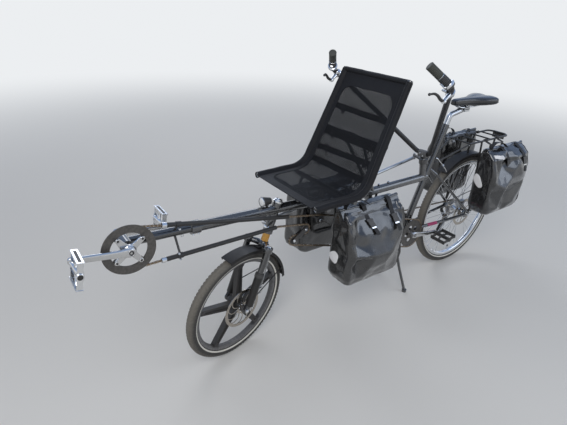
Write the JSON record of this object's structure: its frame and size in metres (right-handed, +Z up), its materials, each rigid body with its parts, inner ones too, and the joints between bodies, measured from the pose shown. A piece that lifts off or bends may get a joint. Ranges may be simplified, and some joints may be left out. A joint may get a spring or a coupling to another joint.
{
  "type": "semi-recumbent tandem bicycle",
  "caption": "Long tandem cycle with a recumbent sling seat and low cranks in front of an upright saddle, steered by a rod, with a two-leg stand and luggage bags.",
  "frame": {"origin": "on the floor under the middle of the whole machine's box", "axes": "+X forward, +Y to the riders' left, +Z up"},
  "size_m": [2.4044, 0.6016, 1.2174],
  "materials": {
    "black_frame": "gloss",
    "bare_metal": "satin",
    "sprocket_steel": "satin",
    "chain_brown": "oily",
    "black_tube": "satin",
    "amber_collar": "satin",
    "black_plastic": "matte",
    "cast_black": "satin",
    "tyre": "dusty",
    "grip_rubber": "matte",
    "mesh": "woven",
    "saddle_cover": "gloss",
    "tarpaulin": "gloss"
  },
  "bodies": {
    "frame": {"main_tube": "black_frame", "boom": "black_frame", "boom_clamp": "bare_metal", "seat_tube": "black_frame", "bar_column": "black_frame", "down_tube": "black_frame", "chain_stays": "black_frame", "seat_stays": "black_frame", "seat_rails": "black_tube", "seat_crossbars": "black_tube", "seat_mounts": "black_tube", "seat_sling": "mesh", "rear_rack": "black_tube", "front_carrier": "black_tube", "front_left_pannier": "tarpaulin", "front_right_pannier": "tarpaulin", "rear_left_pannier": "tarpaulin", "rear_right_pannier": "tarpaulin", "rear_mudguard": "black_plastic", "chain_tubes": "black_plastic", "chain_idler": "black_plastic", "chain_tensioner": "black_plastic", "timing_chain": "chain_brown", "drive_chain": "chain_brown", "rear_derailleur": "bare_metal", "rear_caliper": "bare_metal", "stand_bracket": "bare_metal", "headlamp": "bare_metal", "rear_axle": "bare_metal", "saddle": "saddle_cover", "seat_post": "black_tube"},
    "fork": {"fork_crown": "black_frame", "fork_collar": "amber_collar", "fork_steering_arm": "black_tube", "fork_lowers": "black_frame", "front_axle": "bare_metal", "front_mudguard": "black_plastic", "front_caliper": "bare_metal"},
    "front_wheel": {"front_wheel": "cast_black", "front_tyre": "tyre", "front_rotor": "bare_metal"},
    "rear_wheel": {"rear_rim": "bare_metal", "rear_tyre": "tyre", "rear_hub": "bare_metal", "rear_rotor": "bare_metal", "rear_cassette": "sprocket_steel"},
    "handlebar": {"handlebar": "black_tube", "bar_stem": "black_tube", "bar_grips": "grip_rubber", "brake_levers": "bare_metal"},
    "steering_rod": {"steering_rod": "black_tube"},
    "front_cranks": {"front_crankset": "bare_metal", "front_chainring": "sprocket_steel"},
    "rear_cranks": {"rear_crankset": "bare_metal", "rear_chainrings": "sprocket_steel"},
    "front_left_pedal": {"front_left_pedal": "bare_metal"},
    "front_right_pedal": {"front_right_pedal": "bare_metal"},
    "rear_left_pedal": {"rear_left_pedal": "bare_metal"},
    "rear_right_pedal": {"rear_right_pedal": "bare_metal"},
    "stand": {"stand_legs": "black_tube"}
  },
  "joints": [
    {"name": "fork_steer", "type": "hinge", "parent": "frame", "child": "fork", "pos_m": [0.56047, -0.03244, 0.23632], "axis": [-0.342, 0, 0.9397], "range_deg": [-33, 7]},
    {"name": "bar_steer", "type": "hinge", "parent": "frame", "child": "handlebar", "pos_m": [-0.47397, -0.03244, 0.69], "axis": [0.1994, 0, 0.9799], "range_deg": [-16.5, 3.5]},
    {"name": "rod_pin", "type": "hinge", "parent": "handlebar", "child": "steering_rod", "pos_m": [-0.50397, -0.11644, 0.69], "axis": [0, 0, 1], "range_deg": [-3.5, 16.5]},
    {"name": "front_wheel_spin", "type": "hinge", "parent": "fork", "child": "front_wheel", "pos_m": [0.5971, -0.02344, 0.24965], "axis": [-0.2114, 0.9744, -0.0769], "continuous": true},
    {"name": "rear_wheel_spin", "type": "hinge", "parent": "frame", "child": "rear_wheel", "pos_m": [-0.85894, -0.03244, 0.33], "axis": [0, 1, 0], "continuous": true},
    {"name": "front_crank_spin", "type": "hinge", "parent": "frame", "child": "front_cranks", "pos_m": [1.01206, -0.03244, 0.66], "axis": [0, 1, 0], "continuous": true},
    {"name": "rear_crank_spin", "type": "hinge", "parent": "frame", "child": "rear_cranks", "pos_m": [-0.41594, -0.03244, 0.318], "axis": [0, 1, 0], "continuous": true},
    {"name": "front_left_pedal_spin", "type": "hinge", "parent": "front_cranks", "child": "front_left_pedal", "pos_m": [1.18239, 0.04056, 0.68394], "axis": [0, 1, 0], "continuous": true},
    {"name": "front_right_pedal_spin", "type": "hinge", "parent": "front_cranks", "child": "front_right_pedal", "pos_m": [0.84173, -0.10544, 0.63606], "axis": [0, 1, 0], "continuous": true},
    {"name": "rear_left_pedal_spin", "type": "hinge", "parent": "rear_cranks", "child": "rear_left_pedal", "pos_m": [-0.58533, 0.04056, 0.28813], "axis": [0, 1, 0], "continuous": true},
    {"name": "rear_right_pedal_spin", "type": "hinge", "parent": "rear_cranks", "child": "rear_right_pedal", "pos_m": [-0.24655, -0.10544, 0.34787], "axis": [0, 1, 0], "continuous": true},
    {"name": "stand_swing", "type": "hinge", "parent": "frame", "child": "stand", "pos_m": [-0.35694, -0.03244, 0.27], "axis": [0, -1, 0], "range_deg": [0, 85]}
  ],
  "couplings": [
    {"joint": "bar_steer", "follows": "fork_steer", "ratio": 0.5},
    {"joint": "rod_pin", "follows": "fork_steer", "ratio": -0.5}
  ]
}
